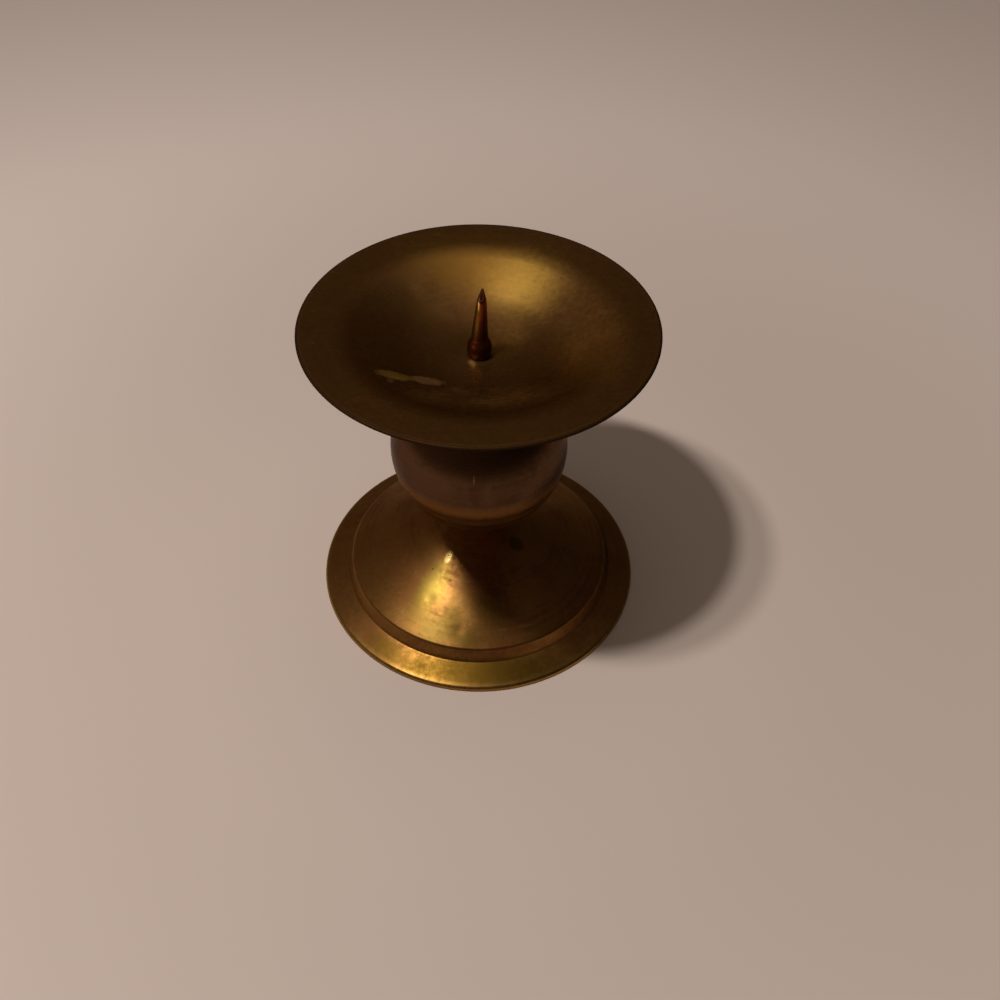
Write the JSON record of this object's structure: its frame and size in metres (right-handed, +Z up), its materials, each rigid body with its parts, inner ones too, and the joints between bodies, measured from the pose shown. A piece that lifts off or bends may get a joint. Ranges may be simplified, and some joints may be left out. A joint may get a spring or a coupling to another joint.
{
  "type": "pricket candle stand",
  "caption": "Low brass candle stand: shallow drip pan with a central spike, a ball knop and a stepped, conical foot, held by a tie rod.",
  "frame": {"origin": "middle of the foot's bottom edge, on the surface that the stand rests on", "axes": "+Z up along the axis of the stand, +X to the right and -Y towards the viewer of the picture"},
  "size_m": [0.1, 0.1, 0.1076],
  "materials": {
    "foot_brass": "spun, lightly tarnished",
    "knop_brass": "spun, browned",
    "pan_brass": "spun, tarnished, with wax marks",
    "turned_brass": "turned, darkened",
    "fixing_steel": "zinc plated, dulled"
  },
  "bodies": {
    "stand": {"foot": "foot_brass", "knop_lower_half": "knop_brass", "knop_upper_half": "knop_brass", "pan_collar": "turned_brass", "drip_pan": "pan_brass"},
    "pricket": {"pricket": "turned_brass"},
    "tie": {"tie_rod": "fixing_steel", "foot_washer": "fixing_steel", "spring_washer": "fixing_steel", "clamp_nut": "fixing_steel"}
  },
  "joints": [
    {"name": "pricket_turn", "type": "hinge", "parent": "stand", "child": "pricket", "pos_m": [0, 0, 0.08666], "axis": [0, 0, 1], "range_deg": [0, 1801]},
    {"name": "rod_drop", "type": "slide", "parent": "stand", "child": "tie", "axis": [0, 0, -1], "range_m": [0, 0.0035]}
  ],
  "couplings": [
    {"joint": "pricket_turn", "follows": "rod_drop", "rad_per_m": 8976}
  ]
}
